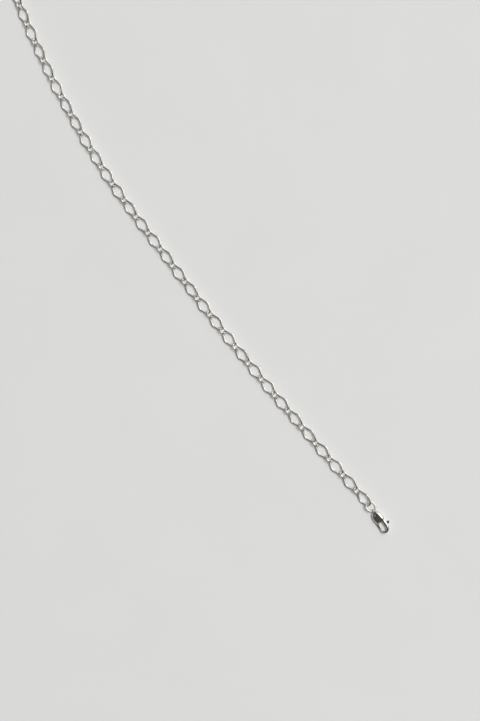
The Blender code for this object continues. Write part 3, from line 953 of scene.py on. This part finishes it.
class NECKLACE_OT_stage(bpy.types.Operator):
    """Set the pale floor, the soft light, the room that the silver mirrors, and the camera"""
    bl_idname = "necklace.stage"
    bl_label = "Set Stage"

    def execute(self, context):
        settings = context.scene.necklace_stage
        self.add_floor(context, settings)
        self.add_light(context, settings)
        self.set_surroundings(context, settings)
        self.add_camera(context)
        return {"FINISHED"}

    def add_floor(self, context, settings):
        """Square painted board with faint clouds, on which the necklace lies."""
        mesh = bpy.data.meshes.new("floor")
        corners = ((-1, -1), (1, -1), (1, 1), (-1, 1))
        mesh.from_pydata([(x * FLOOR_REACH, y * FLOOR_REACH, 0) for x, y in corners], [], [(0, 1, 2, 3)])
        material, tree, shader, coordinates = new_material("Matt painted board")
        shader.inputs["Metallic"].default_value = 0.0
        shader.inputs["Roughness"].default_value = 0.7
        # Clouds in the paint, about four centimetres across and hardly darker
        cloud = add_node(tree, "ShaderNodeTexNoise", {"Vector": coordinates, "Scale": 25.0, "Detail": 3.0})
        colour = add_node(tree, "ShaderNodeMix",
                          {MIX_SHARE: cloud.outputs["Fac"], MIX_FIRST: (*settings.floor, 1.0),
                           MIX_SECOND: (*[value * FLOOR_CLOUD for value in settings.floor], 1.0)},
                          data_type="RGBA")
        tree.links.new(colour.outputs[MIX_RESULT], shader.inputs["Base Color"])
        mesh.materials.append(material)
        floor = bpy.data.objects.new("floor", mesh)
        context.scene.collection.objects.link(floor)

    def add_light(self, context, settings):
        """Soft square light; the silver mirrors the cards instead of it."""
        light = bpy.data.lights.new("soft_light", "AREA")
        light.shape = "SQUARE"
        light.size = settings.light_size
        light.energy = settings.light_power
        item = bpy.data.objects.new("soft_light", light)
        item.visible_glossy = False
        toward = toward_sky(settings.light_turn, settings.light_rise)
        item.location = Vector(VIEW_TARGET) * MM + toward * LIGHT_DISTANCE
        item.rotation_euler = (-toward).to_track_quat("-Z", "Y").to_euler()
        context.scene.collection.objects.link(item)

    def set_surroundings(self, context, settings):
        """Pale behind the floor's edge; where the silver mirrors the room, dim with a few pale cards."""
        world = bpy.data.worlds.new("surroundings")
        world.use_nodes = True
        tree = world.node_tree
        tree.nodes.clear()
        direction = add_node(tree, "ShaderNodeTexCoord").outputs["Generated"]
        height = add_node(tree, "ShaderNodeSeparateXYZ", {0: direction})
        wall = add_node(tree, "ShaderNodeMapRange",
                        {"Value": height.outputs["Z"], "From Min": 0.0, "From Max": WALL_TOP,
                         "To Min": WALL_GLOW, "To Max": 0.0}, interpolation_type="SMOOTHSTEP")
        glow = wall.outputs["Result"]
        for turn, rise, core, reach, brightness in CARDS:
            nearness = add_node(tree, "ShaderNodeVectorMath", {0: direction, 1: toward_sky(turn, rise)},
                                operation="DOT_PRODUCT")
            card = add_node(tree, "ShaderNodeMapRange",
                            {"Value": nearness.outputs["Value"], "From Min": math.cos(reach),
                             "From Max": math.cos(core), "To Min": 0.0,
                             "To Max": settings.cards * brightness}, interpolation_type="SMOOTHSTEP")
            glow = add_node(tree, "ShaderNodeMath", {0: glow, 1: card.outputs["Result"]}).outputs[0]
        room = add_node(tree, "ShaderNodeBackground", {"Color": (*settings.surround, 1.0)})
        bright = add_node(tree, "ShaderNodeBackground", {"Color": (1.0, 1.0, 1.0, 1.0), "Strength": glow})
        mirrored = add_node(tree, "ShaderNodeAddShader", {0: room.outputs[0], 1: bright.outputs[0]})
        pale = add_node(tree, "ShaderNodeBackground", {"Color": (*settings.floor, 1.0)})
        fill = add_node(tree, "ShaderNodeBackground", {"Color": (*settings.floor, 1.0), "Strength": FILL})
        path = add_node(tree, "ShaderNodeLightPath")
        lit = add_node(tree, "ShaderNodeMixShader", {0: path.outputs["Is Diffuse Ray"],
                                                     1: mirrored.outputs[0], 2: fill.outputs[0]})
        seen = add_node(tree, "ShaderNodeMixShader", {0: path.outputs["Is Camera Ray"],
                                                      1: lit.outputs[0], 2: pale.outputs[0]})
        add_node(tree, "ShaderNodeOutputWorld", {"Surface": seen.outputs[0]})
        context.scene.world = world
        context.scene.view_settings.view_transform = "Standard"

    def add_camera(self, context):
        """Camera at the photograph's viewing angle, far off behind a long lens."""
        camera = bpy.data.cameras.new("camera")
        camera.sensor_width = SENSOR
        camera.lens = FOCAL_PIXELS / PICTURE_HEIGHT * SENSOR
        camera.clip_start = CLIP_NEAR
        camera.clip_end = CLIP_FAR
        item = bpy.data.objects.new("camera", camera)
        side = Vector((*VIEW_TOWARD, 0)).normalized() * math.sin(VIEW_TILT)
        back = Vector((side.x, side.y, math.cos(VIEW_TILT)))
        right = (-back).cross(Vector((0, 1, 0))).normalized()
        up = right.cross(-back)
        turn = Matrix((right, up, back)).transposed().to_4x4()
        item.matrix_world = Matrix.Translation((Vector(VIEW_TARGET) + back * VIEW_DISTANCE) * MM) @ turn
        context.scene.collection.objects.link(item)
        context.scene.camera = item


class NECKLACE_PT_panel(bpy.types.Panel):
    """Sizes and colours of the necklace, and the steps that make it"""
    bl_idname = "NECKLACE_PT_panel"
    bl_label = "Silver Necklace"
    bl_space_type = "VIEW_3D"
    bl_region_type = "UI"
    bl_category = "Necklace"

    def draw(self, context):
        for name, _ in SETTINGS:
            group = getattr(context.scene, name)
            box = self.layout.box()
            for key in group.__annotations__:
                box.prop(group, key)
        for step in STEPS:
            self.layout.operator(step.bl_idname)


SETTINGS = (
    ("necklace_links", LinkSizes),
    ("necklace_rings", RingSizes),
    ("necklace_clasp", ClaspSizes),
    ("necklace_silver", SilverFinish),
    ("necklace_stage", StageSettings),
)
STEPS = (
    NECKLACE_OT_chain,
    NECKLACE_OT_rings,
    NECKLACE_OT_clasp_body,
    NECKLACE_OT_clasp_lever,
    NECKLACE_OT_rivet,
    NECKLACE_OT_stage,
)


def register():
    for name, group in SETTINGS:
        bpy.utils.register_class(group)
        setattr(bpy.types.Scene, name, PointerProperty(type=group))
    for step in STEPS:
        bpy.utils.register_class(step)
    bpy.utils.register_class(NECKLACE_PT_panel)


def unregister():
    bpy.utils.unregister_class(NECKLACE_PT_panel)
    for step in reversed(STEPS):
        bpy.utils.unregister_class(step)
    for name, group in reversed(SETTINGS):
        delattr(bpy.types.Scene, name)
        bpy.utils.unregister_class(group)


def main():
    """Build the necklace and its stage."""
    register()
    bpy.ops.necklace.chain()
    bpy.ops.necklace.rings()
    bpy.ops.necklace.clasp_body()
    bpy.ops.necklace.clasp_lever()
    bpy.ops.necklace.rivet()
    bpy.ops.necklace.stage()


if __name__ == "__main__":
    main()
